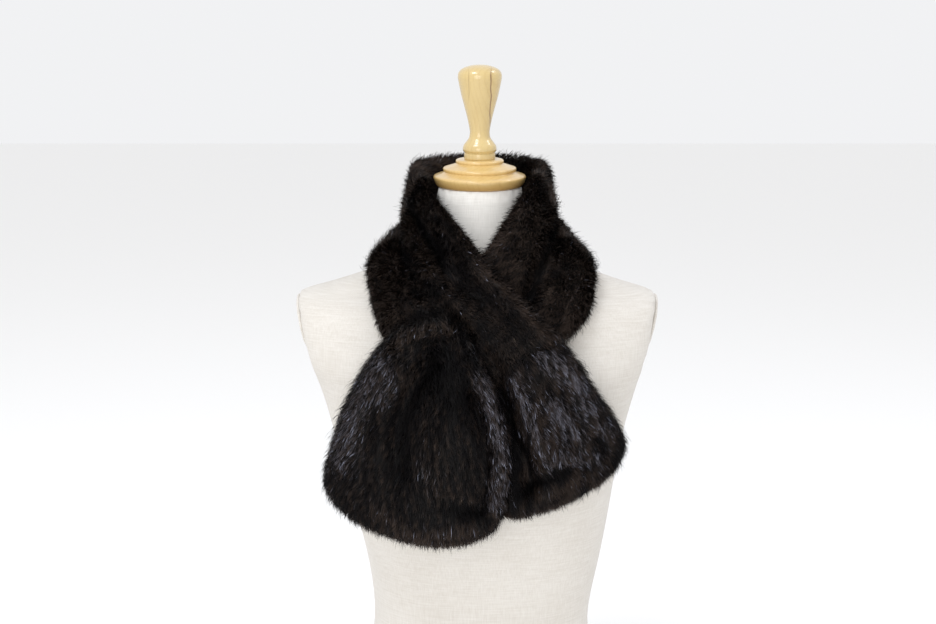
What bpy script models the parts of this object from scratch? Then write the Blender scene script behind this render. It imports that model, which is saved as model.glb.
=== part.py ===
"""A fur scarf with a pull-through slit, worn on a linen-covered dress form with a turned wooden neck cap and knob.

Metres, +Z up, the form faces -Y. The origin is the middle of the form's flat underside.
The tables hold millimetres. The scarf is one long band: its solids reach as far as the fur does.
"""

import math
from collections import namedtuple

import bmesh
import bpy
import numpy as np
from mathutils import Vector
from mathutils.bvhtree import BVHTree

MM = 0.001
SEAM = 0.3  # between pieces that are sewn or that touch

# The dress form
NECK_TOP = 642.0
NECK_BASE = 588.0
NECK_LEAN = math.radians(4.0)  # the neck, the cap and the knob lean forward
ARMHOLE_TOP = 533.0
ARMHOLE_FOOT = 430.0
ARMHOLE_MIDDLE = -2.5
ARMHOLE_REACH = 186.0  # half the breadth across the armholes, at their top
ARMHOLE_SLANT = 0.21  # the armhole closes in towards the waist
PLATE_HEIGHT = 68.0
PLATE_DEPTH = 62.0
PLATE_THICK = 3.5
PLATE_MIDDLE = 499.0
AROUND_TORSO = 44
AROUND_WOOD = 28

Section = namedtuple("Section", "z middle half_width front back square")
TORSO = [
    Section(0, 2, 150, 98, 104, 2.3),
    Section(60, 2, 146, 97, 106, 2.3),
    Section(120, 2, 127, 89, 92, 2.3),
    Section(175, 2, 115, 82, 77, 2.3),
    Section(240, 5, 124, 88, 76, 2.3),
    Section(300, 3, 136, 101, 83, 2.3),
    Section(350, 0, 146, 113, 90, 2.3),
    Section(395, -1, 155, 118, 96, 2.4),
    Section(440, -1, 168, 110, 99, 2.5),
    Section(460, -1, 180, 104, 99, 2.6),
    Section(480, -2, 190, 97, 98, 2.6),
    Section(505, -3, 197, 85, 92, 2.6),
    Section(522, -3, 196, 73, 80, 2.6),
    Section(533, -3, 184, 58, 62, 2.5),
    Section(541, -2, 156, 55, 58, 2.3),
    Section(551, -1, 126, 56, 60, 2.1),
    Section(562, 0, 94, 56, 62, 2.0),
    Section(573, 0, 68, 54, 60, 2.0),
    Section(588, 0, 52, 49, 54, 2.0),
    Section(612, 0, 46, 46, 49, 2.0),
    Section(NECK_TOP, 0, 44, 44, 46, 2.0),
]

Turn = namedtuple("Turn", "radius height")
NECK_CAP = [
    Turn(0, 0),
    Turn(45.5, 0),
    Turn(47.8, 2.4),
    Turn(48.5, 6),
    Turn(48.2, 9),
    Turn(46.6, 11),
    Turn(40.6, 13.4),
    Turn(39.2, 14.2),
    Turn(39.8, 16.2),
    Turn(39.2, 18.2),
    Turn(37.4, 19.4),
    Turn(27, 21.4),
    Turn(25.2, 22),
    Turn(25.9, 23.8),
    Turn(24.6, 25.8),
    Turn(0, 26),
]
KNOB = [
    Turn(0, 0),
    Turn(16.3, 0),
    Turn(16.9, 1),
    Turn(16.9, 7.4),
    Turn(16.1, 8.2),
    Turn(17.3, 9.2),
    Turn(17.8, 12),
    Turn(17, 15.6),
    Turn(14.2, 19.6),
    Turn(11.6, 23),
    Turn(10.4, 27),
    Turn(10.7, 31.5),
    Turn(13.3, 42),
    Turn(19.8, 65),
    Turn(22.8, 79.5),
    Turn(23.1, 82.4),
    Turn(21.9, 86),
    Turn(18.4, 89.8),
    Turn(12, 93.2),
    Turn(0, 95),
]

# The scarf. A row is one section across the band, from its neck edge (ix, iy, iz) to its hem edge (ox, oy, oz).
# belly is how far the middle stands off that line, away from the body, bow how far it runs on along the band.
Across = namedtuple("Across", "ix iy iz ox oy oz belly bow thick")
BAND = [
    Across(-74, -92, 516, -42, -100, 475, 0, 0, 15),
    Across(-40, -90, 553, 10, -105, 480, 0, 0, 17),
    Across(2, -86, 582, 62, -104, 488, 0, 0, 20),
    Across(21, -72, 610, 92, -88, 502, 0, 0, 24),
    Across(41, -53, 635, 107, -64, 522, -6, 0, 27),
    Across(58, -21, 656, 111, -36, 545, -14, 0, 28),
    Across(67, 8, 664, 105, 8, 558, -16, 0, 28),
    Across(61, 38, 668, 92, 50, 558, -16, 0, 28),
    Across(36, 62, 671, 60, 84, 555, -14, 0, 28),
    Across(0, 70, 672, 0, 95, 554, -14, 0, 28),
    Across(-36, 62, 671, -60, 84, 555, -14, 0, 28),
    Across(-60, 38, 668, -90, 50, 558, -16, 0, 28),
    Across(-66, 7, 664, -103, 8, 559, -16, 0, 28),
    Across(-59, -22, 653, -109, -28, 552, -16, 0, 28),
    Across(-43, -54, 632, -108, -52, 538, -8, 0, 28),
    Across(-22, -76, 609, -100, -74, 517, -2, 0, 28),
    Across(0, -93, 584, -90, -93, 494, 0, 0, 28),
    Across(23, -112, 558, -66, -106, 470, 0, 0, 27),
    Across(50, -126, 532, -38, -114, 450, 0, 0, 26),
    Across(76, -130, 507, -14, -120, 434, 2, 0, 27),
    Across(93, -124, 480, -4, -124, 411, 4, 0, 29),
    Across(110, -114, 454, 4, -127, 387, 8, 0, 31),
    Across(127, -104, 427, 11, -129, 363, 10, 2, 32),
    Across(142, -94, 400, 17, -130, 342, 10, 4, 32),
    Across(140, -92, 380, 22, -130, 330, 10, 6, 32),
    Across(124, -96, 363, 36, -128, 328, 8, 5, 30),
]
# The rows where one stretch is sewn to the next
UNDER_ENDS = 5.0
NECK_ENDS = 13.0
OVER_ENDS = 19.0

# The end that comes through the slit and hangs in front. Here the neck edge is the one on the image's right.
THROUGH_END = [
    Across(-22, -124, 519, -60, -116, 518, 4, -8, 26),
    Across(-14, -128, 508, -84, -108, 504, 6, -8, 30),
    Across(0, -132, 488, -102, -100, 486, 8, -3, 34),
    Across(12, -136, 464, -117, -94, 462, 10, 0, 37),
    Across(22, -140, 438, -130, -88, 436, 12, 0, 38),
    Across(27, -142, 410, -141, -84, 408, 14, 4, 38),
    Across(28, -142, 385, -150, -82, 382, 14, 8, 38),
    Across(26, -140, 360, -156, -82, 357, 14, 14, 38),
    Across(21, -136, 331, -151, -84, 339, 12, 21, 37),
    Across(6, -132, 311, -126, -92, 325, 10, 21, 34),
]

# A fold is a trough along the band: across gives its place between the edges at its first and last row.
Fold = namedtuple("Fold", "first last across_first across_last depth wide")
BAND_FOLDS = [
    Fold(1.2, 7.6, 0.56, 0.44, 14, 0.045),
    Fold(5.4, 7.2, 0.24, 0.22, 5, 0.05),
    Fold(7.4, 11.4, 0.62, 0.60, 5, 0.07),
    Fold(10.8, 17.6, 0.58, 0.46, 14, 0.045),
    Fold(13.2, 17.9, 0.25, 0.22, 10, 0.045),
    Fold(18.6, 24.6, 0.78, 0.80, 7, 0.06),
    Fold(20.0, 24.6, 0.36, 0.30, 5, 0.07),
    Fold(21.6, 24.2, 0.15, 0.16, 7, 0.045),
]
THROUGH_FOLDS = [
    Fold(2.4, 8.8, 0.16, 0.13, 9, 0.045),
    Fold(1.4, 7.8, 0.46, 0.60, 9, 0.07),
    Fold(3.0, 8.0, 0.78, 0.80, 5, 0.06),
    Fold(4.6, 8.8, 0.33, 0.36, 4, 0.05),
]

# The slit in the over stretch, and the gathered root that passes through it
SLIT_MIDDLE = (-44.0, 503.0)
SLIT_WIDE = 66.0
SLIT_TALL = 18.0
ROOT_WIDE = 62.0
ROOT_TALL = 14.0
ROOT_REACH = 9.0

ROW_LENGTH = 9.0  # along the band, between the rings of the finished solids
ACROSS_STEPS = 26
EDGE_THICK = 1.6  # where the pile thins out at an edge
END_ROUNDING = 22.0
THROUGH_CLEAR = 0.8  # and as much more under the through end
LAID_CLEAR = 0.6  # between a stretch and what it lies on
SPREAD = 0.97  # how far a lift carries on sideways
OVERLAP_EASE = 5  # rings over which the over stretch rises on to the under stretch


def material(name, colour, roughness):
    made = bpy.data.materials.new(name)
    made.use_nodes = True
    shader = made.node_tree.nodes["Principled BSDF"]
    shader.inputs["Base Color"].default_value = (*colour, 1.0)
    shader.inputs["Roughness"].default_value = roughness
    shader.inputs["Metallic"].default_value = 0.0
    return made


def place_mesh(name, points_mm, faces, finish, smooth=True):
    """One named object from points in millimetres and faces as lists of point numbers."""
    mesh = bpy.data.meshes.new(name)
    mesh.from_pydata([tuple(MM * c for c in p) for p in points_mm], [], faces)
    shape = bmesh.new()
    shape.from_mesh(mesh)
    bmesh.ops.triangulate(shape, faces=[f for f in shape.faces if len(f.verts) > 4])
    bmesh.ops.recalc_face_normals(shape, faces=shape.faces)
    shape.to_mesh(mesh)
    shape.free()
    if smooth:
        mesh.shade_smooth()
        mesh.set_sharp_from_angle(angle=math.radians(50))
    made = bpy.data.objects.new(name, mesh)
    made.data.materials.append(finish)
    bpy.context.scene.collection.objects.link(made)
    return made


def spline(rows, places):
    """The rows read at fractional places by a Catmull-Rom curve through them."""
    rows = np.array(rows, float)
    last = len(rows) - 1
    first = np.clip(np.floor(places).astype(int), 0, last - 1)
    t = (np.asarray(places) - first)[:, None]
    before = rows[np.maximum(first - 1, 0)]
    after = rows[np.minimum(first + 2, last)]
    a, b = rows[first], rows[first + 1]
    return 0.5 * (
        2 * a
        + (b - before) * t
        + (2 * before - 5 * a + 4 * b - after) * t**2
        + (3 * a - before - 3 * b + after) * t**3
    )


def middle_line(rows, places):
    """The middle of the band at fractional rows."""
    cut = spline(rows, places)
    return (cut[:, 0:3] + cut[:, 3:6]) / 2


def run_along(rows, places):
    """The length of the middle line up to each place."""
    steps = np.linalg.norm(np.diff(middle_line(rows, places), axis=0), axis=1)
    return np.concatenate([[0], np.cumsum(steps)])


def loop_faces(rings, around):
    """Quads between rings of the same number of points, with a face over each end."""
    faces = []
    for r in range(rings - 1):
        for i in range(around):
            j = (i + 1) % around
            faces.append((r * around + i, r * around + j, (r + 1) * around + j, (r + 1) * around + i))
    faces.append(tuple(range(around)))
    faces.append(tuple(range((rings - 1) * around, rings * around)))
    return faces


def armhole(z):
    """How far out the flat armhole lies at a height."""
    return ARMHOLE_REACH - ARMHOLE_SLANT * (ARMHOLE_TOP - z)


def make_torso(linen):
    """Superellipse sections from the hips to the neck, cut flat at the armholes."""
    places = [0, 1, 1.5, 2, 2.5, 3, 3.5, 4, 4.5, 5, 5.5, 6, 6.5, 7, 7.5, 8, 8.5, 9, 10, 11]
    places += [11.5, 12, 12.5, 13, 13.5, 14, 15, 16, 16.5, 17, 17.5, 18, 19, 20]
    points = []
    for z, middle, half_width, front, back, square in spline(TORSO, np.array(places)):
        reach = armhole(max(z, ARMHOLE_FOOT))
        low_x, high_x = ARMHOLE_MIDDLE - reach, ARMHOLE_MIDDLE + reach
        lean = math.tan(NECK_LEAN) * min(max((z - NECK_BASE) / (NECK_TOP - NECK_BASE), 0), 1)
        for i in range(AROUND_TORSO):
            angle = 2 * math.pi * (i + 0.5) / AROUND_TORSO
            c, s = math.cos(angle), math.sin(angle)
            x = math.copysign(half_width * abs(c) ** (2 / square), c)
            y = math.copysign((back if s > 0 else front) * abs(s) ** (2 / square), s)
            points.append((max(low_x, min(high_x, middle + x)), y, z + lean * y))
    return place_mesh("torso", points, loop_faces(len(places), AROUND_TORSO), linen)


def make_arm_plate(name, side, linen):
    """The oval disc that closes one armhole."""
    shape = bmesh.new()
    bmesh.ops.create_circle(shape, cap_ends=True, segments=24, radius=0.5)
    bmesh.ops.scale(shape, vec=(PLATE_HEIGHT * MM, PLATE_DEPTH * MM, 1), verts=shape.verts)
    made = bmesh.ops.extrude_face_region(shape, geom=shape.faces[:])
    raised = [v for v in made["geom"] if isinstance(v, bmesh.types.BMVert)]
    bmesh.ops.translate(shape, vec=(0, 0, PLATE_THICK * MM), verts=raised)
    bmesh.ops.recalc_face_normals(shape, faces=shape.faces)
    mesh = bpy.data.meshes.new(name)
    shape.to_mesh(mesh)
    shape.free()
    mesh.shade_smooth()
    mesh.set_sharp_from_angle(angle=math.radians(60))
    plate = bpy.data.objects.new(name, mesh)
    plate.data.materials.append(linen)
    bevel = plate.modifiers.new("edge", "BEVEL")
    bevel.width = 1.2 * MM
    bevel.segments = 1
    outward = Vector((side, 0, -ARMHOLE_SLANT)).normalized()
    seat = Vector((ARMHOLE_MIDDLE + side * armhole(PLATE_MIDDLE), 2, PLATE_MIDDLE)) + outward * SEAM
    plate.location = seat * MM
    plate.rotation_mode = "QUATERNION"
    plate.rotation_quaternion = outward.to_track_quat("Z", "Y")
    bpy.context.scene.collection.objects.link(plate)
    return plate


def make_turned(name, profile, base, wood):
    """A lathe-turned piece, standing on the leaning neck at a height above the neck's top."""
    rings = [p for p in profile if p.radius > 0]
    points = []
    for p in rings:
        for i in range(AROUND_WOOD):
            angle = 2 * math.pi * i / AROUND_WOOD
            points.append((p.radius * math.cos(angle), p.radius * math.sin(angle), p.height))
    made = place_mesh(name, points, loop_faces(len(rings), AROUND_WOOD), wood)
    axis = Vector((0, -math.sin(NECK_LEAN), math.cos(NECK_LEAN)))
    made.location = (Vector((0, 0, NECK_TOP)) + axis * base) * MM
    made.rotation_euler.x = NECK_LEAN
    return made


def section_grid(rows, places, folds):
    """Per ring and step across: the middle surface's point, and how thick the pile is above and below it."""
    cut = spline(rows, places)
    even = np.arange(ACROSS_STEPS + 1) / ACROSS_STEPS
    across = 0.6 * (0.5 - 0.5 * np.cos(np.pi * even)) + 0.4 * even
    inner, outer = cut[:, 0:3], cut[:, 3:6]
    along = middle_line(rows, places + 0.02) - middle_line(rows, places - 0.02)
    along /= np.linalg.norm(along, axis=1, keepdims=True)
    out = np.cross(outer - inner, along)
    out /= np.linalg.norm(out, axis=1, keepdims=True)
    arch = 4 * across * (1 - across)
    points = (
        inner[:, None] * (1 - across)[None, :, None]
        + outer[:, None] * across[None, :, None]
        + out[:, None] * (cut[:, 6, None] * arch)[:, :, None]
        + along[:, None] * (cut[:, 7, None] * arch)[:, :, None]
    )
    edge = (1 - np.abs(2 * across - 1) ** 2.8) ** (1 / 2.2)
    half = cut[:, 8, None] / 2 * edge[None]
    above, below = half.copy(), half.copy()
    for fold in folds:
        t = np.clip((places - fold.first) / (fold.last - fold.first), 0, 1)
        at = fold.across_first + (fold.across_last - fold.across_first) * t
        fade = np.sin(np.pi * t) ** 0.7
        trough = np.exp(-(((across[None] - at[:, None]) / fold.wide) ** 2) / 2)
        above -= fold.depth * fade[:, None] * trough * edge[None]
    return points, above, below


def beside(grid):
    """The mean of each value's four neighbours in a grid."""
    padded = np.pad(grid, [(1, 1), (1, 1)] + [(0, 0)] * (grid.ndim - 2), mode="edge")
    return (padded[:-2, 1:-1] + padded[2:, 1:-1] + padded[1:-1, :-2] + padded[1:-1, 2:]) / 4


def normals_of(points, seams=()):
    """Soft unit normals of a grid of points, away from the body. The two rings at a seam share theirs."""
    made = np.cross(np.gradient(points, axis=1), np.gradient(points, axis=0))
    for _ in range(3):
        made /= np.linalg.norm(made, axis=2, keepdims=True)
        made = (made + beside(made)) / 2
    for ring in seams:
        made[ring - 1 : ring + 1] = made[ring - 1] + made[ring]
    return made / np.linalg.norm(made, axis=2, keepdims=True)


def tree_of(made):
    """The object as a tree that rays can be cast at, in millimetres."""
    bpy.context.view_layer.update()
    mesh = made.evaluated_get(bpy.context.evaluated_depsgraph_get()).to_mesh()
    points = [made.matrix_world @ v.co / MM for v in mesh.vertices]
    return BVHTree.FromPolygons(points, [tuple(p.vertices) for p in mesh.polygons])


def halved(grid):
    """The grid with a value added half-way between each two, both ways."""
    for axis in (0, 1):
        grid = np.moveaxis(grid, axis, 0)
        finer = np.empty((2 * len(grid) - 1, *grid.shape[1:]))
        finer[::2] = grid
        finer[1::2] = (grid[:-1] + grid[1:]) / 2
        grid = np.moveaxis(finer, 0, axis)
    return grid


def highest_near(fine):
    """For each point of the coarse grid, the highest of the fine grid's nine values at it."""
    padded = np.pad(fine, 1, mode="edge")
    shifts = [padded[a : a + fine.shape[0], b : b + fine.shape[1]] for a in range(3) for b in range(3)]
    return np.max(shifts, axis=0)[::2, ::2]


def lift_off(points, below, trees, seams, toward, most, rounds=80, ray=170.0):
    """Lifts a stretch off what lies under it, and lets the lift spread smoothly, as a stiff pelt does."""
    normals = normals_of(points, seams)
    out = normals if toward is None else np.broadcast_to(toward, points.shape)
    slope = np.clip((normals * out).sum(axis=2), 0.6, 1)
    fine_points, fine_out, fine_below = halved(points), halved(out), halved(below / slope)
    needed = np.full(fine_below.shape, -1e3)
    for index in np.ndindex(*needed.shape):
        start = Vector(fine_points[index] + fine_out[index] * ray)
        for tree in trees:
            hit = tree.ray_cast(start, Vector(-fine_out[index]), 2 * ray)
            if hit[0] is not None:
                needed[index] = max(needed[index], ray - hit[3] + fine_below[index] + LAID_CLEAR)
    least = np.minimum(highest_near(needed), most)
    for ring in seams:
        least[ring - 1 : ring + 1] = least[ring - 1 : ring + 1].max(axis=0)
    lift = np.maximum(least, 0)
    for _ in range(rounds):
        lift = np.maximum(least, SPREAD * beside(lift))
        for ring in seams:
            lift[ring - 1 : ring + 1] = lift[ring - 1 : ring + 1].max(axis=0)
    return points + out * lift[:, :, None]


def lay(points, below, trees, seams=(), toward=None):
    """Lays a stretch on what lies under it. The second and third time take up what the first one's tilt leaves."""
    for most in (60, 3, 3):
        points = lift_off(points, below, trees, seams, toward, most)
    return points


def rounded_ends(places, rows, at_start, at_end):
    """How full the pile is at each ring: 1, falling off in a round where the band ends free."""
    run = run_along(rows, places)
    full = np.ones(len(places))
    if at_start:
        full *= np.sqrt(np.clip(1 - (1 - np.clip(run / END_ROUNDING, 0, 1)) ** 2, 0, 1))
    if at_end:
        full *= np.sqrt(np.clip(1 - (1 - np.clip((run[-1] - run) / END_ROUNDING, 0, 1)) ** 2, 0, 1))
    return full


def pelt(points, out, above, below, full):
    """The points and faces of a closed wall round a grid of middle points."""
    half = EDGE_THICK / 2
    top = points + out * np.maximum(above * full[:, None], half)[:, :, None]
    low = points - out * np.maximum(below * full[:, None], half)[:, :, None]
    rings = np.concatenate([top, low[:, ::-2]], axis=1)
    count, around = rings.shape[:2]
    faces = loop_faces(count, around)[:-2]
    for start in (0, (count - 1) * around):
        for j in range(ACROSS_STEPS // 2):
            upper = [start + 2 * j, start + 2 * j + 1, start + 2 * j + 2]
            faces.append((*upper, start + around - 2 - j, start + around - 1 - j))
    return rings.reshape(-1, 3), faces


def ring_places(rows, first, last, crowded=()):
    """Fractional row numbers from first to last, ROW_LENGTH apart along the band's middle."""
    fine = np.linspace(first, last, 400)
    run = run_along(rows, fine)
    steps = max(2, round(run[-1] / ROW_LENGTH))
    at = list(np.linspace(0, run[-1], steps + 1))
    at += [d if end == "start" else run[-1] - d for end, d in crowded]
    return np.interp(sorted(at), run, fine)


def seam_share(rows, place):
    """Half a seam's width as a share of a row, at that place along the band."""
    return 0.1 * SEAM / 2 / run_along(rows, np.array([place - 0.05, place + 0.05]))[-1]


def box_along_y(name, wide, tall, low_y, high_y, at, rounding, finish):
    """A bar along Y with rounded long edges."""
    shape = bmesh.new()
    bmesh.ops.create_cube(shape, size=1.0)
    bmesh.ops.scale(shape, vec=(wide * MM, (high_y - low_y) * MM, tall * MM), verts=shape.verts)
    long_edges = [e for e in shape.edges if abs(e.verts[0].co.y - e.verts[1].co.y) > 1e-6]
    bmesh.ops.bevel(shape, geom=long_edges, offset=rounding * MM, segments=3, affect="EDGES", profile=0.5)
    mesh = bpy.data.meshes.new(name)
    shape.to_mesh(mesh)
    shape.free()
    made = bpy.data.objects.new(name, mesh)
    made.data.materials.append(finish)
    made.location = (at[0] * MM, (low_y + high_y) / 2 * MM, at[1] * MM)
    bpy.context.scene.collection.objects.link(made)
    return made


def boolean(made, tool, operation):
    """Cuts a tool from an object, or joins it on. The tool stays hidden as a guide."""
    cut = made.modifiers.new(tool.name, "BOOLEAN")
    cut.operation = operation
    cut.solver = "EXACT"
    cut.object = tool
    tool.hide_render = True
    tool.display_type = "WIRE"


def make_scarf(fur, torso, neck_cap):
    """The band's stretches, each laid over the form and over the stretches under it."""
    form = tree_of(torso)
    names = ["under_stretch", "neck_stretch", "over_stretch", "over_end"]
    cuts = [0.0, UNDER_ENDS, NECK_ENDS, OVER_ENDS, float(len(BAND) - 1)]
    places = []
    for first, last in zip(cuts[:-1], cuts[1:]):
        low = first + (seam_share(BAND, first) if first > 0 else 0)
        high = last - (seam_share(BAND, last) if last < cuts[-1] else 0)
        near_ends = [("start", 3.0), ("start", 6.0)] if first == 0 else []
        near_ends += [("end", 3.0), ("end", 6.0)] if last == cuts[-1] else []
        places.append(ring_places(BAND, low, high, near_ends))
    seams = [int(n) for n in np.cumsum([len(p) for p in places])]
    starts, seams = [0, *seams[:-1]], seams[:-1]
    every = np.concatenate(places)
    ends = [*starts[1:], len(every)]
    points, above, below = section_grid(BAND, every, BAND_FOLDS)
    full = rounded_ends(every, BAND, True, True)

    points = lay(points, below, [form, tree_of(neck_cap)], seams)
    under = slice(0, ends[0])
    shape = pelt(points[under], normals_of(points, seams)[under], above[under], below[under], full[under])
    under_tree = BVHTree.FromPolygons([Vector(p) for p in shape[0]], shape[1])

    crossing = starts[2] - OVERLAP_EASE
    later = [n - crossing for n in seams[1:]]
    lifted = lay(points[crossing:], below[crossing:], [form, under_tree], later)
    ease = np.clip((np.arange(len(lifted)) - OVERLAP_EASE) / OVERLAP_EASE, 0, 1)
    points[crossing:] += (lifted - points[crossing:]) * ease[:, None, None]

    out = normals_of(points, seams)
    made = {}
    for name, a, b in zip(names, starts, ends):
        shape = pelt(points[a:b], out[a:b], above[a:b], below[a:b], full[a:b])
        made[name] = place_mesh(name, *shape, fur)
    return made


def make_through_end(fur, torso, made):
    """The end that has come up through the slit and hangs in front, over the rest."""
    last = float(len(THROUGH_END) - 1)
    near_ends = [("start", 3.0), ("start", 6.0), ("end", 3.0), ("end", 6.0)]
    places = ring_places(THROUGH_END, 0.0, last, near_ends)
    points, above, below = section_grid(THROUGH_END, places, THROUGH_FOLDS)
    under = [tree_of(torso)] + [tree_of(made[n]) for n in ("under_stretch", "over_stretch", "over_end")]
    points = lay(points, below + THROUGH_CLEAR, under, toward=(0, -1, 0))
    full = rounded_ends(places, THROUGH_END, True, True)
    shape = pelt(points, normals_of(points), above, below, full)
    return place_mesh("through_end", *shape, fur)


def nearest_front(tree, wide, tall):
    """The most forward point of a stretch behind a slit-sized patch."""
    x, z = SLIT_MIDDLE
    fronts = []
    for u in (-0.5, -0.25, 0, 0.25, 0.5):
        for v in (-0.5, 0, 0.5):
            hit = tree.ray_cast(Vector((x + u * wide, -300, z + v * tall)), Vector((0, 1, 0)), 600)[0]
            if hit is not None:
                fronts.append(hit.y)
    return min(fronts)


def cut_slit(fur, made):
    """The slit through the over stretch, and the root of the through end that fills it."""
    front = nearest_front(tree_of(made["over_stretch"]), SLIT_WIDE, SLIT_TALL)
    back = nearest_front(tree_of(made["under_stretch"]), ROOT_WIDE, ROOT_TALL)
    cutter = box_along_y("slit_cutter", SLIT_WIDE, SLIT_TALL, front - 30, back + 10, SLIT_MIDDLE, 8, fur)
    boolean(made["over_stretch"], cutter, "DIFFERENCE")
    root = box_along_y("root", ROOT_WIDE, ROOT_TALL, front - ROOT_REACH, back - SEAM, SLIT_MIDDLE, 6, fur)
    boolean(made["through_end"], root, "UNION")


def build():
    for old in list(bpy.data.objects):
        bpy.data.objects.remove(old, do_unlink=True)
    linen = material("linen", (0.80, 0.77, 0.72), 0.9)
    wood = material("turned_wood", (0.78, 0.56, 0.27), 0.3)
    fur = material("dark_fur", (0.018, 0.013, 0.011), 0.55)
    torso = make_torso(linen)
    make_arm_plate("arm_plate_left", 1, linen)
    make_arm_plate("arm_plate_right", -1, linen)
    neck_cap = make_turned("neck_cap", NECK_CAP, SEAM, wood)
    make_turned("knob", KNOB, NECK_CAP[-1].height + 2 * SEAM, wood)
    made = make_scarf(fur, torso, neck_cap)
    made["through_end"] = make_through_end(fur, torso, made)
    cut_slit(fur, made)


build()
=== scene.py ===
import math
from collections import namedtuple

import bmesh
import bpy
import numpy as np
from mathutils import Matrix, Vector
from mathutils.bvhtree import BVHTree


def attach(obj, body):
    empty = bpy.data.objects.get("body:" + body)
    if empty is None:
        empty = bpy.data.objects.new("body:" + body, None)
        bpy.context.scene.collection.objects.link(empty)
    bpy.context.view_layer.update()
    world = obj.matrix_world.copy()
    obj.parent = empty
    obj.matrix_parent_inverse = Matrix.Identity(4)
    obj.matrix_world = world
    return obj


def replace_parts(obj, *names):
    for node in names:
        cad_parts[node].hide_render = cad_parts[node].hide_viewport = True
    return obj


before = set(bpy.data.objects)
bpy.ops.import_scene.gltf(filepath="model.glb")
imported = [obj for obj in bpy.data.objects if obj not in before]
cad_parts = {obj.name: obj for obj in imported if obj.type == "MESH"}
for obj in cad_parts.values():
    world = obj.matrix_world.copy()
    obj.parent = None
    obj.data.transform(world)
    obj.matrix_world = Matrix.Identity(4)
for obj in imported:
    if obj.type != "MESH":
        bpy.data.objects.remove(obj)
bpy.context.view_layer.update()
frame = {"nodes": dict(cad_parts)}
nodes = frame["nodes"]
MM = 0.001

# The form's neck leans forward and carries the turned wood, in mm
NECK_TOP = 642.0
NECK_LEAN = math.radians(4.0)
CAP_BASE = 0.3
KNOB_BASE = 27.5

# Turned wood: radius, height and whether the outline has a corner there, in mm
CAP_ROWS = (
    (0, 0, 1), (43.6, 0, 1), (44.9, 1.2, 0), (46.4, 4.4, 0), (47.6, 8.2, 0), (47.3, 10.1, 0),
    (45.6, 11.2, 0), (41.0, 12.6, 0), (37.4, 14.2, 1), (36.8, 14.8, 1), (37.6, 16.2, 0), (37.7, 17.6, 0),
    (36.6, 18.9, 0), (31.0, 20.6, 0), (25.0, 22.7, 1), (24.2, 23.3, 1), (24.7, 24.6, 0), (24.5, 26.0, 0),
    (23.2, 27.0, 0), (20.5, 27.4, 1), (0, 27.4, 1),
)
KNOB_ROWS = (
    (0, 0, 1), (15.4, 0, 1), (16.0, 0.8, 0), (16.1, 3.5, 0), (16.0, 6.2, 1), (15.4, 6.7, 1), (15.7, 7.4, 1),
    (17.0, 8.8, 0), (17.4, 11, 0), (16.5, 14.3, 0), (13.8, 18, 0), (11.2, 21.6, 0), (10.3, 25.5, 0),
    (10.4, 30.5, 0), (12.6, 41.5, 0), (15.9, 54, 0), (19.1, 66, 0), (21.9, 79.5, 0), (22.4, 83.6, 0),
    (21.6, 87.6, 0), (18.4, 91.2, 0), (12, 93.9, 0), (6, 95.1, 0), (0, 95.4, 1),
)
AROUND_WOOD = 96
STEPS_BETWEEN_ROWS = 5
THINNEST_RADIUS = 0.01

# Linen: its threads in radians and its slubs in cells, per metre
THREAD_RATE = 4300.0
ACROSS_SLUB = 900.0
ALONG_SLUB = 45.0
# The neck's linen is painted paler from the first height up to the second: painted light where the collar
# shades it
PAINTED_NECK_LIGHT_FROM, PAINTED_NECK_LIGHT_WHOLE = 0.56, 0.6  # heights in metres

# The heart that the wood's growth rings lie round stood beside the piece, in metres
HEART_X, HEART_Y = -0.11, 0.07
RING_RATE = 1500.0  # radians per metre

# A hair's shade runs from black to brown, then its tip turns silver-blue as a painted glint, and a stray
# hair is pale
BLACKEST = 0.02
BROWNEST = 0.6
PAINTED_GLINT_FROM, PAINTED_GLINT_WHOLE = 0.62, 0.95
STRAY_FROM, STRAY = 0.99, 0.995

# Hair, in metres
HAIR_HALF_WIDTH = 0.00026
BEND_HEIGHT = 0.52  # the share of a hair where it is widest
ROOT_DEPTH = 0.006
USUAL_PROUD, MOST_PROUD, GUARD_PROUD = 0.0012, 0.005, 0.006  # how far tips stand out of the skin
MOST_DEPTH = 0.03
JUST_UNDER = 0.0002
SKIN_FREE = 0.0015  # skin with less room than this lies against another piece
SPARSE_ROOM, ROOM_TO_FULL = 0.002, 0.016  # hair is sparse with the first room ahead, and full with both
SPARSE = 0.03
GUARD_SHARE = 0.25
GUARD_LONG, WOOL_LONG = 1.2, 0.95  # times the stretch's hair length
BRIGHT_SHARE = 0.1  # of the painted glints
STRAY_SHARE = 0.00004

# Light in the folds: how many ways it is looked for, how far, and how much those ways lean outward
LIGHT_WAYS = 14
LIGHT_REACH = 0.045
LIGHT_LEAN = 1.15
LIGHT_START = 0.002

# Where a hair's four corners lie between its root and its tip in its map: the collar's hair stands up and
# shows its tips, and the tails' hair is laid down and shows its length. The collar's map starts past most of
# the dark root colour, which is painted light that lifts the shade among its upright hair.
UPRIGHT = 0.8
UPRIGHT_MAP = (0.46, 0.76, 0.76, 0.99)
LAID_MAP = (0.01, 0.52, 0.52, 0.99)
MAP_SPREAD = (0.0, -0.0012, 0.0012, 0.0)

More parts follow.
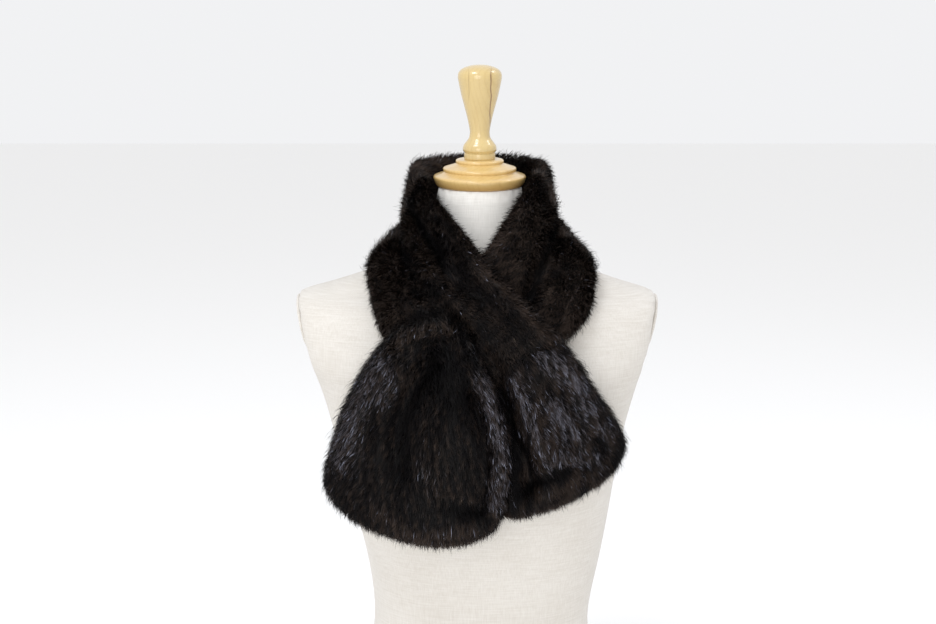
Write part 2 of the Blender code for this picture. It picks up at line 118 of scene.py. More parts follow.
# Dips in the front of the fur: half width, depth (below 0 for a ridge), and the line's x and z, in mm
CREASES = {
    "through_end": (
        (6, 8, ((-6, 458), (5, 408), (6, 366), (0, 340))),
        (7, -6, ((2, 470), (13, 438), (20, 403), (19, 376), (13, 344))),
        (11, 7, ((-46, 490), (-66, 460), (-80, 425), (-83, 395), (-79, 375))),
        (9, -3, ((-20, 450), (-38, 400), (-42, 365))),
        (10, -4, ((-100, 468), (-124, 425), (-134, 390))),
        (8, -7, ((-80, 508), (-61, 517), (-46, 522), (-34, 522))),
        (10, 5, ((-36, 350), (0, 334))),
        (6, 5, ((-108, 420), (-116, 385), (-112, 360))),
    ),
    "over_end": (
        (8, 8, ((20, 455), (32, 411), (44, 388), (48, 352))),
        (8, -4, ((33, 466), (46, 430), (61, 402), (66, 380))),
        (7, 4, ((72, 455), (88, 425), (92, 400))),
        (9, -4, ((86, 466), (106, 436), (118, 418))),
        (9, -4, ((48, 494), (70, 486), (94, 475))),
        (7, 7, ((116, 404), (121, 395), (124, 386))),
        (8, 6, ((50, 362), (80, 380), (104, 380))),
    ),
    "over_stretch": (
        (6, 9, ((-66, 620), (-45, 585), (-33, 568), (-22, 554))),
        (6, 8, ((-86, 602), (-80, 590), (-70, 566), (-62, 548))),
        (5, 4, ((-47, 613), (-43, 591), (-39, 580))),
        (8, -3, ((-34, 618), (0, 580), (27, 546), (53, 516), (74, 500))),
        (6, -3, ((-57, 602), (-52, 588), (-42, 568))),
        (8, 3, ((-27, 583), (-14, 560))),
        (7, 5, ((-108, 560), (-101, 547))),
        (8, 9, ((-27, 513), (-18, 503))),
        (6, 3, ((6, 492), (14, 482), (20, 470))),
    ),
    "under_stretch": (
        (7, 9, ((84, 612), (78, 602), (65, 581), (55, 558), (47, 538))),
        (6, 6, ((70, 634), (70, 621))),
        (7, -4, ((104, 566), (99, 540), (86, 518))),
        (8, -3, ((44, 625), (28, 600), (12, 583))),
        (7, 2, ((56, 600), (44, 585))),
    ),
}

# Where the fur changes: half width, painted glint (silver), brown with painted light and shade, and the
# line's x and z, in mm. The silver is a painted glint standing for highlights. The brown is partly the fur's
# own brown and partly painted light: it lightens the mound's fringe, the hems and the collar's flanks, and
# below 0 it paints shade into the dips, the hole by the mound and the band above it.
ZONES = {
    "through_end": (
        (12, 0.65, 0.0, ((-96, 478), (-113, 448), (-128, 415), (-139, 375))),
        (7, 0.4, 0.1, ((-104, 500), (-84, 470), (-96, 440))),
        (6, 1.0, 0.0, ((2, 470), (12, 440), (20, 405), (20, 376), (14, 346))),
        (5, 0.1, 1.0, ((-84, 502), (-63, 516), (-46, 521), (-30, 519))),
        (8, 0.1, 0.9, ((-100, 330), (-60, 308), (-8, 318))),
        (6, 0.15, 0.1, ((-58, 384), (-44, 360))),
        (12, -0.1, -0.6, ((-36, 494), (-26, 450))),
        (9, -0.1, -0.5, ((-46, 475), (-72, 430), (-76, 370))),
        (9, 0.0, -0.5, ((-26, 340), (2, 332))),
        (14, 0.0, 0.15, ((-50, 420), (-40, 360))),
    ),
    "over_end": (
        (8, 1.0, 0.0, ((52, 494), (74, 480), (92, 462))),
        (8, 0.65, 0.0, ((96, 448), (112, 424), (126, 398))),
        (11, 0.6, 0.4, ((34, 464), (46, 436), (60, 410), (68, 392))),
        (10, 0.95, 0.1, ((72, 436), (92, 408))),
        (9, 0.5, 0.2, ((84, 386), (112, 380))),
        (7, 0.1, 0.9, ((60, 352), (104, 366))),
        (8, -0.1, -0.5, ((44, 352), (60, 366), (84, 372))),
        (6, -0.3, -0.7, ((116, 404), (121, 395))),
    ),
    "over_stretch": (
        (6, 0.01, 0.5, ((-52, 640), (-36, 624), (0, 583), (27, 550), (53, 519), (74, 501))),
        (4.5, 0.0, -1.0, ((-70, 628), (-56, 600), (-45, 585), (-35, 571))),
        (4.5, 0.0, -1.0, ((-92, 612), (-82, 594), (-71, 568))),
        (6, 0.05, 0.7, ((-66, 606), (-56, 585), (-44, 567))),
        (26, 0.0, 0.75, ((-92, 604), (-102, 560), (-92, 522))),
        (6, -0.1, -1.0, ((-29, 516), (-21, 507))),
        (5, -0.1, -0.5, ((-88, 512), (-66, 525), (-46, 530), (-36, 529))),
        (11, -0.01, -0.3, ((-42, 594), (-14, 560), (20, 524), (54, 492))),
    ),
    "under_stretch": (
        (18, 0.03, 0.6, ((104, 586), (106, 560), (90, 520))),
        (7, 0.05, 0.5, ((50, 640), (30, 604), (12, 584))),
        (5, 0.0, -1.0, ((84, 612), (78, 602), (65, 581), (55, 558), (47, 538))),
        (4, 0.4, 0.2, ((76, 634), (88, 612))),
        (16, 0.0, 0.35, ((72, 634), (56, 600))),
    ),
    "neck_stretch": (
        (30, 0.0, 0.3, ((-80, 640), (-80, 600))),
        (30, 0.0, 0.35, ((80, 640), (80, 600))),
    ),
}

# Which way the hair lies: points along the middle of the band, from the back of the neck to each end, in mm
NECK_LINE = ((-80, 40, 607), (0, 90, 613), (80, 40, 607))
UNDER_LINE = ((0, 85, 613), (76, 53, 607), (86, 7, 611), (75, -64, 578), (32, -95, 535), (-60, -97, 495))
OVER_LINE = (
    (0, 85, 613), (-76, 53, 607), (-85, 7, 611), (-75, -53, 585),
    (-45, -93, 540), (20, -125, 480), (75, -112, 350),
)


# Shader values, so that a pattern can be written as plain arithmetic


class Value:
    """A number from a material's nodes. Arithmetic on it adds Math nodes."""

    def __init__(self, nodes, socket):
        self.nodes = nodes
        self.socket = socket

    def maths(self, operation, first, second=0.0):
        node = self.nodes.new("ShaderNodeMath")
        node.operation = operation
        put(node.inputs[0], first)
        put(node.inputs[1], second)
        return Value(self.nodes, node.outputs[0])

    def __add__(self, other):
        return self.maths("ADD", self, other)

    def __sub__(self, other):
        return self.maths("SUBTRACT", self, other)

    def __mul__(self, other):
        return self.maths("MULTIPLY", self, other)

    def __truediv__(self, other):
        return self.maths("DIVIDE", self, other)

    def __pow__(self, other):
        return self.maths("POWER", self, other)

    def __gt__(self, other):
        return self.maths("GREATER_THAN", self, other)

    def __lt__(self, other):
        return self.maths("LESS_THAN", self, other)

    def __radd__(self, other):
        return self.maths("ADD", other, self)

    def __rsub__(self, other):
        return self.maths("SUBTRACT", other, self)

    def __rmul__(self, other):
        return self.maths("MULTIPLY", other, self)

    def sine(self):
        return self.maths("SINE", self)

    def size(self):
        return self.maths("ABSOLUTE", self)

    def smooth(self, low, high):
        """0 below low, 1 above high, and an even rise between them."""
        along = (self - low) / (high - low)
        along = self.maths("MAXIMUM", self.maths("MINIMUM", along, 1.0), 0.0)
        return along * along * (3.0 - 2.0 * along)


def put(socket, value):
    """Links a value or a socket to this input, or sets a number on it."""
    if isinstance(value, Value):
        value = value.socket
    if isinstance(value, bpy.types.NodeSocket):
        socket.id_data.links.new(value, socket)
    else:
        socket.default_value = value


class Finish:
    """A material and its nodes."""

    def __init__(self, name):
        self.material = bpy.data.materials.new(name)
        self.material.use_nodes = True
        self.nodes = self.material.node_tree.nodes
        self.surface = self.nodes["Principled BSDF"]

    def node(self, kind, settings=None, inputs=None):
        """Any node: its settings first, and then its inputs, by their names or numbers."""
        made = self.nodes.new(kind)
        for name, value in (settings or {}).items():
            setattr(made, name, value)
        for name, value in (inputs or {}).items():
            put(made.inputs[name], value)
        return made

    def place(self):
        """Where the point is on the object, in metres."""
        return self.node("ShaderNodeTexCoord").outputs["Object"]

    def axes(self, vector):
        parts = self.node("ShaderNodeSeparateXYZ", inputs={"Vector": vector})
        return [Value(self.nodes, out) for out in parts.outputs]

    def stretched(self, vector, factors):
        """The place times one factor for each axis."""
        inputs = {0: vector, 1: factors}
        return self.node("ShaderNodeVectorMath", {"operation": "MULTIPLY"}, inputs).outputs[0]

    def noise(self, vector, scale, detail=3.0, rough=0.5, warp=0.0):
        inputs = {"Vector": vector, "Scale": scale, "Detail": detail, "Roughness": rough, "Distortion": warp}
        made = self.node("ShaderNodeTexNoise", inputs=inputs)
        return Value(self.nodes, made.outputs["Fac"])

    def mix(self, factor, first, second):
        """A colour between two colours."""
        first, second = ((*c, 1.0) if isinstance(c, tuple) else c for c in (first, second))
        inputs = {0: factor, 6: first, 7: second}
        return self.node("ShaderNodeMix", {"data_type": "RGBA"}, inputs).outputs[2]

    def bump(self, height, distance, strength):
        inputs = {"Height": height, "Distance": distance, "Strength": strength}
        return self.node("ShaderNodeBump", inputs=inputs).outputs["Normal"]

    def wear(self, **inputs):
        """Sets the surface's inputs, named in plain words with _ for a space."""
        for name, value in inputs.items():
            put(self.surface.inputs[name.replace("_", " ")], value)
        return self.material


# Finishes


def linen():
    """Undyed linen: uneven threads both ways, slubs and patches. The neck is painted paler, as painted light
    where the collar shades it.
    """
    dark, pale = (0.6, 0.56, 0.505), (0.725, 0.695, 0.65)
    neck_painted_lit_dark, neck_painted_lit_pale = (0.78, 0.76, 0.72), (0.88, 0.86, 0.82)
    f = Finish("linen")
    place = f.place()
    across, deep, up = f.axes(place)
    drift = 9.0 * f.noise(place, 9.0, 2.0)
    warp = (THREAD_RATE * (across + 0.7 * deep) + drift).sine()
    weft = (THREAD_RATE * up + drift).sine()
    long_slubs = f.noise(f.stretched(place, (ACROSS_SLUB, ACROSS_SLUB, ALONG_SLUB)), 1.0, 2.0)
    wide_slubs = f.noise(f.stretched(place, (ALONG_SLUB, ALONG_SLUB, ACROSS_SLUB)), 1.0, 2.0)
    slubs = 0.5 * (long_slubs + wide_slubs)
    patches = f.noise(place, 14.0)
    tone = (1.6 * slubs + 0.5 * patches - 0.55).smooth(0.0, 1.0)
    # Painted light: the neck is paler where the collar shades it
    painted_neck_light = 0.75 * up.smooth(PAINTED_NECK_LIGHT_FROM, PAINTED_NECK_LIGHT_WHOLE)
    threads = 0.1 * (warp + weft) + 1.4 * slubs
    return f.wear(
        Base_Color=f.mix(painted_neck_light, f.mix(tone, dark, pale), f.mix(tone, neck_painted_lit_dark, neck_painted_lit_pale)),
        Roughness=0.86 + 0.08 * slubs,
        Specular_IOR_Level=0.25,
        Sheen_Weight=0.15,
        Normal=f.bump(threads, 0.00035, 0.7),
    )


def varnished_wood(name, pale, dark, foot):
    """Pale hardwood under clear varnish, darker at its foot, with two brown streaks down the front."""
    streak_brown = (0.2, 0.095, 0.03)
    f = Finish(name)
    place = f.place()
    x, y, z = f.axes(place)
    wander = f.noise(place, 24.0, 2.0)
    fibres = f.noise(f.stretched(place, (1600.0, 1600.0, 45.0)), 1.0, 4.0, 0.6)
    from_heart = ((x - HEART_X) ** 2.0 + (y - HEART_Y) ** 2.0) ** 0.5
    ring = (RING_RATE * from_heart + 7.0 * wander + 5.0 * z).sine()
    late_wood = ring.smooth(0.6, 1.0)
    bands = f.noise(f.stretched(place, (110.0, 110.0, 10.0)), 1.0, 2.0)
    tone = (0.35 + 0.45 * fibres + 0.6 * bands - 0.09 * late_wood - 0.03 * ring).smooth(0.1, 1.0)
    above = z - math.tan(NECK_LEAN) * y - NECK_TOP * MM
    in_foot = 0.65 - 0.65 * above.smooth(0.0, 0.009)
    colour = f.mix(in_foot, f.mix(tone, dark, pale), foot)

    def streak(middle, sway, half_width, start, whole):
        """A line down the front that begins at one height above the neck and is whole from the next."""
        off = (x - middle - sway * wander).size()
        return (1.0 - off.smooth(0.0001, half_width)) * (y < 0.0) * above.smooth(start, whole)

    streaks = streak(0.0065, 0.009, 0.001, 0.054, 0.075) + 0.35 * streak(-0.0145, 0.006, 0.0009, 0.08, 0.1)
    below_top = 0.95 - 0.9 * above.smooth(0.112, 0.124)
    return f.wear(
        Base_Color=f.mix(streaks * below_top * fibres.smooth(0.15, 0.5), colour, streak_brown),
        Roughness=0.32 + 0.12 * fibres,
        Coat_Weight=0.8,
        Coat_Roughness=0.16,
        Normal=f.bump(fibres, 0.00015, 0.3),
    )


def under_fur():
    """The short dense wool at the roots of the hair."""
    black, brown = (0.007, 0.0066, 0.007), (0.014, 0.0105, 0.009)
    f = Finish("under_fur")
    place = f.place()
    tufts = f.noise(place, 260.0, 4.0, 0.65, 0.6)
    fine = f.noise(place, 1400.0, 2.0)
    return f.wear(
        Base_Color=f.mix(tufts.smooth(0.35, 0.75), black, brown),
        Roughness=0.8 - 0.1 * fine,
        Specular_IOR_Level=0.2,
        Normal=f.bump(tufts + 0.4 * fine, 0.002, 0.8),
    )


def guard_hair():
    """Hairs read their own map: its first axis is the hair's shade, its second runs from root to tip."""
    black_root, brown_root = (0.0034, 0.0031, 0.0034), (0.0095, 0.007, 0.006)
    black_tip, brown_tip = (0.0075, 0.0068, 0.0075), (0.06, 0.043, 0.0345)
    painted_glint, stray = (0.42, 0.44, 0.56), (0.42, 0.34, 0.27)
    f = Finish("guard_hair")
    shade, along, _ = f.axes(f.node("ShaderNodeUVMap", {"uv_map": "OFBake"}).outputs["UV"])
    root = f.mix(shade, black_root, brown_root)
    tip = f.mix(shade.smooth(0.1, 0.65), black_tip, brown_tip)
    # Painted glint: a silver-blue tip stands for a highlight
    tip = f.mix(shade.smooth(PAINTED_GLINT_FROM, PAINTED_GLINT_WHOLE), tip, painted_glint)
    colour = f.mix(along.smooth(0.25, 0.95), root, tip)
    return f.wear(
        Base_Color=f.mix(shade > STRAY_FROM, colour, stray),
        Roughness=0.4 - 0.2 * along,
        Specular_IOR_Level=0.05,
    )


# Meshes


def linked(name, data):
    """A new object in the scene for a mesh, a lamp or a lens."""
    made = bpy.data.objects.new(name, data)
    bpy.context.scene.collection.objects.link(made)
    return made


def finer(node, name, material, levels, sharp=50.0):
    """A copy of a CAD solid with its facets merged and smoothed. Edges sharper than that angle stay."""
    mesh = nodes[node].data.copy()
    mesh.name = name
    mesh.materials.clear()
    mesh.materials.append(material)
    work = bmesh.new()
    work.from_mesh(mesh)
    bmesh.ops.remove_doubles(work, verts=work.verts, dist=0.00002)
    bmesh.ops.join_triangles(
        work,
        faces=work.faces,
        angle_face_threshold=math.radians(28.0),
        angle_shape_threshold=math.radians(50.0),
    )
    crease = work.edges.layers.float.new("crease_edge")
    for edge in work.edges:
        if len(edge.link_faces) == 2 and edge.calc_face_angle(0.0) > math.radians(sharp):
            edge[crease] = 0.9
    for face in work.faces:
        face.smooth = True
    work.to_mesh(mesh)
    work.free()
    mesh.attributes.active_color = None
    piece = linked(name, mesh)
    rounding = piece.modifiers.new("rounding", "SUBSURF")
    rounding.levels = levels
    rounding.render_levels = levels
    return applied(piece)


def applied(piece):
    """Writes a piece's modifiers into its mesh."""
    bpy.context.view_layer.update()
    shaped = piece.evaluated_get(bpy.context.evaluated_depsgraph_get())
    mesh = bpy.data.meshes.new_from_object(shaped)
    piece.modifiers.clear()
    piece.data = mesh
    return piece


def on_curve(before, start, end, after, share):
    """A point between start and end on a smooth curve through all four."""
    return (
        2 * start
        + (end - before) * share
        + (2 * before - 5 * start + 4 * end - after) * share**2
        + (3 * start - before - 3 * end + after) * share**3
    ) / 2


def turned(name, rows, base, material):
    """A lathe-turned piece on the leaning neck. Its outline curves through the rows between corners."""
    outline = []
    for i, (row, following) in enumerate(zip(rows, rows[1:])):
        before = row if row[2] else rows[i - 1]
        after = following if following[2] else rows[i + 2]
        four = [np.array(r[:2]) for r in (before, row, following, after)]
        outline += [on_curve(*four, step / STEPS_BETWEEN_ROWS) for step in range(STEPS_BETWEEN_ROWS)]
    outline.append(np.array(rows[-1][:2]))
    work = bmesh.new()
    turn = np.arange(AROUND_WOOD) * 2 * math.pi / AROUND_WOOD
    rings = []
    for radius, height in outline:
        out = max(radius, THINNEST_RADIUS)
        ring = [(out * math.cos(a) * MM, out * math.sin(a) * MM, height * MM) for a in turn]
        rings.append([work.verts.new(point) for point in ring])
    for low, high in zip(rings, rings[1:]):
        for i in range(AROUND_WOOD):
            j = (i + 1) % AROUND_WOOD
            work.faces.new((low[i], low[j], high[j], high[i]))
    work.faces.new(list(reversed(rings[0])))
    work.faces.new(rings[-1])
    mesh = bpy.data.meshes.new(name)
    work.to_mesh(mesh)
    work.free()
    lean = Matrix.Rotation(NECK_LEAN, 4, "X")
    mesh.transform(Matrix.Translation((0, 0, NECK_TOP * MM)) @ lean @ Matrix.Translation((0, 0, base * MM)))
    mesh.shade_smooth()
    mesh.set_sharp_from_angle(angle=math.radians(40))
    mesh.materials.append(material)
    return linked(name, mesh)


def points_of(mesh):
    places = np.empty(len(mesh.vertices) * 3)
    mesh.vertices.foreach_get("co", places)
    return places.reshape(-1, 3)


def normals_of(mesh):
    normals = np.empty(len(mesh.vertices) * 3)
    mesh.vertices.foreach_get("normal", normals)
    return normals.reshape(-1, 3)


def triangles_of(mesh):
    mesh.calc_loop_triangles()
    corners = np.empty(len(mesh.loop_triangles) * 3, dtype=np.int32)
    mesh.loop_triangles.foreach_get("vertices", corners)
    return corners.reshape(-1, 3)


def moved(mesh, points):
    """Writes new places for a mesh's points."""
    mesh.vertices.foreach_set("co", points.ravel())
    mesh.update()


def unit(vectors):
    return vectors / np.maximum(np.linalg.norm(vectors, axis=-1, keepdims=True), 1e-9)


def smooth(share):
    share = np.clip(share, 0.0, 1.0)
    return share * share * (3 - 2 * share)


def waves(places, length, seed, count=7):
    """Smooth random vectors that change over about this length."""
    chance = np.random.default_rng(seed)
    total = np.zeros_like(places)
    for _ in range(count):
        way = unit(chance.normal(size=3))
        stride = 2.0 * math.pi / (length * chance.uniform(0.7, 1.6))
        turn = chance.uniform(0.0, 2.0 * math.pi)
        side = unit(chance.normal(size=3))
        total += np.sin(places @ way * stride + turn)[:, None] * side
    return total / math.sqrt(count)


# What is round about each place on the fur


def tree_of(piece):
    mesh = piece.data
    return BVHTree.FromPolygons(points_of(mesh).tolist(), triangles_of(mesh).tolist())


def reach(trees, places, ways, most):
    """How far each place can look out along its way before a piece stops it, up to a limit."""
    found = np.full(len(places), most)
    for i, (place, way) in enumerate(zip(places.tolist(), ways.tolist())):
        start, ahead = Vector(place), Vector(way)
        for tree in trees:
            distance = tree.ray_cast(start, ahead, most)[3]
            if distance is not None:
                found[i] = min(found[i], distance)
    return found


def thickness(piece, places, normals, most):
    """How far the solid goes on behind each place."""
    return reach([tree_of(piece)], places - JUST_UNDER * normals, -normals, most)


def openness(trees, places, normals):
    """How much of the light round about gets to each place, from 0 in a deep fold to 1 in the open."""
    chance = np.random.default_rng(3)
    ways = unit(chance.normal(size=(LIGHT_WAYS, 3)))
    found = np.zeros(len(places))
    for way in ways:
        leaning = unit(way + LIGHT_LEAN * normals)
        for i, (place, lean) in enumerate(zip(places.tolist(), leaning.tolist())):
            ahead = Vector(lean)
            start = Vector(place) + ahead * LIGHT_START
            blocked = any(tree.ray_cast(start, ahead, LIGHT_REACH)[0] is not None for tree in trees)
            found[i] += not blocked
    return found / LIGHT_WAYS


def nearest(places, line):
    """How far each place is from a line of points, seen from the front, in mm."""
    line = np.array(line, dtype=float)
    flat = places[:, (0, 2)] / MM
    found = np.full(len(flat), 1e9)
    for start, end in zip(line, line[1:]):
        run = end - start
        share = np.clip(((flat - start) @ run) / (run @ run), 0, 1)[:, None]
        found = np.minimum(found, np.linalg.norm(flat - start - share * run, axis=1))
    return found


def zone_shares(places, normals, zones):
    """How much painted glint and how much brown, with painted light and shade, the zones put on each place:
    most on a zone's line, and none at the back.
    """
    totals = np.zeros((2, len(places)))
    for wide, painted_glint, brown, line in zones:
        totals += np.outer((painted_glint, brown), np.exp(-((nearest(places, line) / wide) ** 2)))
    return np.clip(totals, -1.0, 1.0) * smooth(0.4 - 1.2 * normals[:, 1])


def press(piece, creases):
    """Presses dips into the front of the skin, or raises ridges where the depth is negative."""
    mesh = piece.data
    points, normals = points_of(mesh), normals_of(mesh)
    front = smooth(-1.6 * normals[:, 1])
    for wide, depth, line in creases:
        amount = depth * MM * np.exp(-((nearest(points, line) / wide) ** 2)) * front
        points -= normals * amount[:, None]
    moved(mesh, points)


def sunk(piece):
    """Draws the skin in to where the hairs are rooted."""
    mesh = piece.data
    points, normals = points_of(mesh), normals_of(mesh)
    deep = thickness(piece, points, normals, 0.05)
    points -= normals * np.minimum(ROOT_DEPTH, 0.32 * deep)[:, None]
    moved(mesh, points)


# Which way the hair lies


def lie_along(line):
    """Hair that follows the band."""
    line = np.array(line) * MM
    middles = (line[1:] + line[:-1]) / 2
    steps = unit(line[1:] - line[:-1])

    def way(places):
        apart = np.linalg.norm(places[:, None] - middles[None], axis=2)
        near = 1.0 / (apart**4 + 1e-9)
        return unit((near[..., None] * steps[None]).sum(axis=1))

    return way


def lie_from(point, down):
    """Hair that fans out from a point, and hangs as much as down says."""
    point = np.array(point) * MM

    def way(places):
        out = unit(places - point)
        out[:, 2] -= down
        return unit(out)

    return way


def lie_between(upper, lower, top, bottom):
    """Hair that changes from one lie to another on the way down."""

    def way(places):
        share = smooth((top - places[:, 2] / MM) / (top - bottom))[:, None]
        return unit(upper(places) * (1 - share) + lower(places) * share)

    return way


# The hair itself


def hair_places(skin, count, others, form_tree, chance):
    """Where hairs stand on the skin, few where another piece lies close, and the light that gets there."""
    points, normals, corners = points_of(skin.data), normals_of(skin.data), triangles_of(skin.data)
    a, b, c = (points[corners[:, i]] for i in range(3))
    leans = np.cross(b - a, c - a) / 2
    areas = np.linalg.norm(leans, axis=1)
    room = reach(others + [form_tree], (a + b + c) / 3, unit(leans), MOST_DEPTH)
    weight = areas * np.clip((room - SPARSE_ROOM) / ROOM_TO_FULL, SPARSE, 1.0)
    # Where two stretches meet, their closed ends would tilt the normals, so only free skin counts
    free = room > SKIN_FREE
    open_normals = normals * 1e-9
    for corner in range(3):
        np.add.at(open_normals, corners[free, corner], leans[free])
    normals = unit(open_normals)
    chosen = corners[chance.choice(len(corners), size=count, p=weight / weight.sum())]
    light = openness([tree_of(skin)] + others, points, normals)
    r1, r2 = np.sqrt(chance.random(count)), chance.random(count)
    shares = np.stack([1 - r1, r1 * (1 - r2), r1 * r2], axis=1)[..., None]
    place = (points[chosen] * shares).sum(axis=1)
    normal = unit((normals[chosen] * shares).sum(axis=1))
    return place, normal, (light[chosen] * shares[..., 0]).sum(axis=1)


def hair_shapes(place, normal, deep, stretch, seed, chance):
    """Each hair's way, rise, root, middle and tip, the way across it, and whether it is a guard hair."""
    count = len(place)
    guard = chance.random(count) > 1.0 - GUARD_SHARE
    long = stretch.length * np.where(guard, GUARD_LONG, WOOL_LONG) * chance.uniform(0.8, 1.15, count)
    lie = stretch.way(place) + 0.22 * waves(place, 0.022, seed + 1) + 0.2 * waves(place, 0.007, seed + 2)
    lie -= normal * (lie * normal).sum(axis=1)[:, None]
    lie += 0.13 * chance.normal(size=(count, 3))
    rise = np.minimum(stretch.stand * long, 0.5 * deep) / long
    rise = np.clip(rise + 0.1 * chance.normal(size=count), 0.03, 0.93)
    way = unit(lie * np.sqrt(1 - rise**2)[:, None] + normal * rise[:, None])
    proud = np.minimum(USUAL_PROUD * chance.exponential(size=count), MOST_PROUD)
    proud += guard * GUARD_PROUD * chance.random(count) ** 3
    tip = place + normal * proud[:, None]
    root = tip - way * long[:, None]
    middle = root + BEND_HEIGHT * (tip - root) + normal * (0.09 * long)[:, None]
    side = unit(np.cross(way, normal + 0.5 * chance.normal(size=(count, 3))))
    return way, rise, (root, middle, tip), side, guard


def hair_shades(place, normal, light, stretch, seed, chance):
    """Each hair's shade, whether its tip has a painted glint, and how much of its tip colour shows, less in
    folds as painted shade.
    """
    count = len(place)
    mottled = 0.7 if stretch.stand > UPRIGHT else 2.1
    patches = mottled * waves(place * (1, 1, 1.8), 0.011, seed + 3)[:, 0]
    patches += 0.5 * waves(place, 0.034, seed + 4)[:, 0]
    painted_sheen, brown_and_painted_light = zone_shares(place, normal, ZONES[stretch.node])
    # Zones add brown and painted light, and below 0 painted shade
    shade = stretch.tone * (1.0 + patches) + 0.1 * chance.normal(size=count) + 0.4 * brown_and_painted_light
    # Down-facing hems are painted paler, partly brown underfur and partly painted light; hair in closed
    # folds is painted darker as painted shade; glint zones are painted lighter
    shade += 0.45 * np.clip(-normal[:, 2] - 0.2, 0.0, 0.7) + 0.12 * (light - 0.75) + 0.12 * painted_sheen
    shade = np.clip(shade, BLACKEST, BROWNEST)
    # Painted glints: tips in the glint zones and in clumps turn silver-blue, standing for highlights, fewer
    # in folds
    clump = 0.1 + 1.15 * smooth(0.5 + waves(place * (1.5, 1.5, 0.7), 0.008, seed + 6)[:, 0])
    glint = chance.random(count) < (0.006 + 0.9 * painted_sheen) * clump * light
    bright = chance.random(count) < BRIGHT_SHARE
    painted_glint = PAINTED_GLINT_FROM + 0.05 + 0.08 * clump * chance.random(count) + 0.2 * bright
    shade[glint] = painted_glint[glint]
    shade[chance.random(count) > 1.0 - STRAY_SHARE] = STRAY
    # Painted shade: in closed folds and dark zones more of the dark root colour shows
    painted_fold_light = smooth(light / 0.65) ** 0.5 * (1.0 + 0.7 * np.minimum(brown_and_painted_light, 0.0))
    return shade, glint, painted_fold_light


def fur(stretch, skin, count, seed, others, form_tree):
    """Hairs over one stretch of the scarf, as one mesh of narrow leaves."""
    chance = np.random.default_rng(seed)
    place, normal, light = hair_places(skin, count, others, form_tree, chance)
    deep = thickness(skin, place, normal, MOST_DEPTH)
    way, rise, (root, middle, tip), side, guard = hair_shapes(place, normal, deep, stretch, seed, chance)
    shade, glint, painted_fold_light = hair_shades(place, normal, light, stretch, seed, chance)
    wide = HAIR_HALF_WIDTH * chance.uniform(0.6, 1.3, count) * (1.0 + 0.15 * glint - 0.4 * guard)
    across = side * wide[:, None]
    leaves = np.stack([root, middle - across, middle + across, tip], axis=1)
    start = np.arange(count)[:, None] * 4
    faces = np.concatenate([start + (0, 2, 1), start + (1, 2, 3)])
    mesh = bpy.data.meshes.new(stretch.node + "_hair")
    mesh.from_pydata(leaves.reshape(-1, 3), [], faces)
    mesh.shade_smooth()
    tilt = unit(normal + 0.13 * side * chance.normal(size=(count, 1)))
    laid = (1.0 - rise**2) * (tilt * way).sum(axis=1)
    upright = unit(tilt - way * laid[:, None])
    mesh.normals_split_custom_set_from_vertices(np.repeat(upright, 4, axis=0))
    heights = np.array(UPRIGHT_MAP if stretch.stand > UPRIGHT else LAID_MAP)
    own_map = np.stack([shade[:, None] + np.array(MAP_SPREAD), heights * painted_fold_light[:, None]], axis=2)
    own_map = own_map.reshape(-1, 2)
    mesh.uv_layers.new(name="OFBake").data.foreach_set("uv", own_map[faces.ravel()].ravel())
    mesh.materials.append(hair_material)
    return linked(mesh.name, mesh)


# The form and its turned wood

linen_material = linen()
knob_material = varnished_wood("honey_wood", (0.62, 0.465, 0.2), (0.42, 0.265, 0.08), (0.42, 0.265, 0.08))
cap_material = varnished_wood("amber_wood", (0.67, 0.46, 0.175), (0.43, 0.23, 0.055), (0.48, 0.25, 0.065))
hair_material = guard_hair()
wool_material = under_fur()

form = finer("torso", "linen_form", linen_material, 1)
for node in ("arm_plate_left", "arm_plate_right"):
    plate = finer(node, node + "_linen", linen_material, 2)
    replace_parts(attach(plate, "root"), node)
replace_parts(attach(form, "root"), "torso")
for node, rows, base, material in (
    ("neck_cap", CAP_ROWS, CAP_BASE, cap_material),
    ("knob", KNOB_ROWS, KNOB_BASE, knob_material),
):
    wood = turned(node + "_varnished", rows, base, material)
    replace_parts(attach(wood, "root"), node)

# The scarf: how each stretch's hair lies, how far it stands up, how brown it is, and the flat size. The
# collar's stretches are browner and lighter partly as painted light, lifting the shade among their upright
# hair.

over_lie = lie_between(lie_along(OVER_LINE), lie_from((-10, -90, 520), 0.35), 530, 450)
through_lie = lie_from((-42, -96, 507), 0.35)
Stretch = namedtuple("Stretch", "node way stand tone hairs length flat")
STRETCHES = (
    Stretch("neck_stretch", lie_along(NECK_LINE), 0.85, 0.35, 84000, 0.0105, (0.125, 0.31)),
    Stretch("under_stretch", lie_along(UNDER_LINE), 0.9, 0.42, 64000, 0.0105, (0.12, 0.2)),
    Stretch("over_stretch", over_lie, 0.9, 0.28, 92000, 0.0105, (0.12, 0.26)),
    Stretch("over_end", over_lie, 0.6, 0.16, 90000, 0.0135, (0.13, 0.16)),
    Stretch("through_end", through_lie, 0.6, 0.13, 97000, 0.0135, (0.18, 0.22)),
)
skins = {row.node: finer(row.node, row.node + "_skin", wool_material, 1, 60.0) for row in STRETCHES}
for node, creases in CREASES.items():
    press(skins[node], creases)
trees = {node: tree_of(skin) for node, skin in skins.items()}
form_tree = tree_of(form)
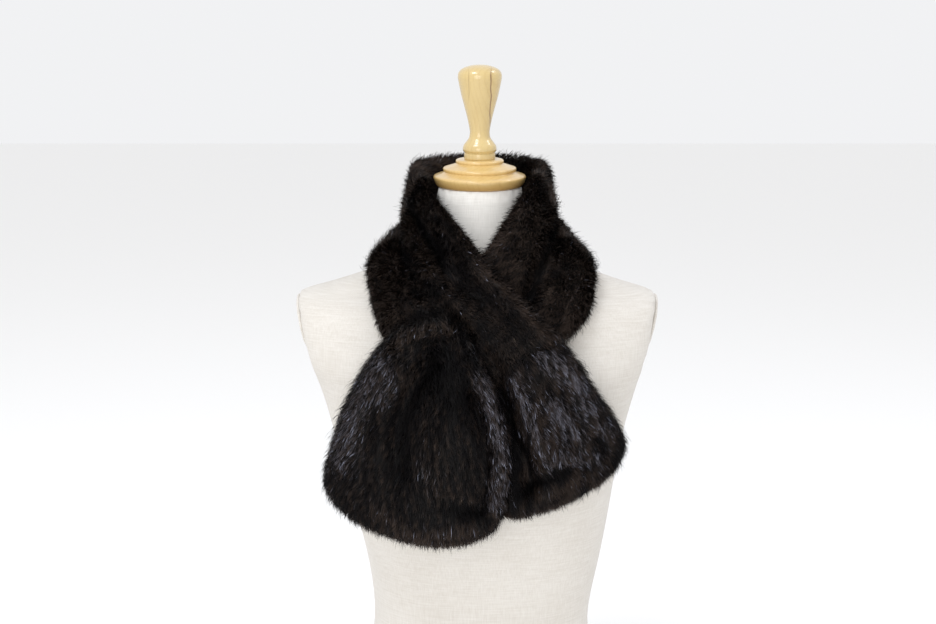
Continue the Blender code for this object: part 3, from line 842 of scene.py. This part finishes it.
for number, stretch in enumerate(STRETCHES):
    skin = skins[stretch.node]
    others = [tree for node, tree in trees.items() if node != stretch.node]
    count = stretch.hairs
    hairs = fur(stretch, skin, count, 11 * number + 5, others, form_tree)
    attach(hairs, "root")
    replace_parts(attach(skin, "root"), stretch.node)
for skin in skins.values():
    sunk(skin)

# Studio

FLOOR_HALF = 15.0
floor_mesh = bpy.data.meshes.new("floor")
floor_corners = [(x * FLOOR_HALF, y * FLOOR_HALF, 0) for x, y in ((-1, -1), (1, -1), (1, 1), (-1, 1))]
floor_mesh.from_pydata(floor_corners, [], [(0, 1, 2, 3)])
floor_finish = Finish("pale_floor")
floor_finish.wear(Base_Color=(0.96, 0.955, 0.945, 1.0), Roughness=0.95, Specular_IOR_Level=0.1)
floor_mesh.materials.append(floor_finish.material)
linked("floor", floor_mesh)

world = bpy.data.worlds.new("studio")
world.use_nodes = True
surroundings = world.node_tree.nodes["Background"].inputs
surroundings["Color"].default_value = (0.98, 0.985, 1.0, 1.0)
surroundings["Strength"].default_value = 0.9
bpy.context.scene.world = world
bpy.context.scene.view_settings.view_transform = "Standard"


def aimed(made, place, target):
    """Puts a lamp or a camera at a place and points it at a target."""
    made.location = place
    made.rotation_euler = (Vector(target) - Vector(place)).to_track_quat("-Z", "Y").to_euler()
    return made


def soft_light(name, place, target, size, power, colour):
    lamp = bpy.data.lights.new(name, "AREA")
    lamp.shape = "DISK"
    lamp.size = size
    lamp.energy = power
    lamp.color = colour
    aimed(linked(name, lamp), place, target)


soft_light("window", (-0.9, -1.1, 2.8), (0, 0, 0.5), 0.8, 25.0, (0.9, 0.94, 1.0))
soft_light("second_window", (1.3, 0.4, 2.3), (0, 0, 0.5), 0.6, 7.0, (0.85, 0.9, 1.0))
soft_light("room", (-0.5, -2.5, 0.9), (0, 0, 0.55), 1.4, 17.0, (1.0, 0.985, 0.96))

TARGET = Vector((-0.012, 0.0, 0.5095))
PITCH = math.radians(10.0)
DISTANCE = 1.365
lens = bpy.data.cameras.new("camera")
lens.lens = 50.0
lens.sensor_width = 36.0
back = Vector((0.0, -math.cos(PITCH), math.sin(PITCH)))
bpy.context.scene.camera = aimed(linked("camera", lens), TARGET + back * DISTANCE, TARGET)
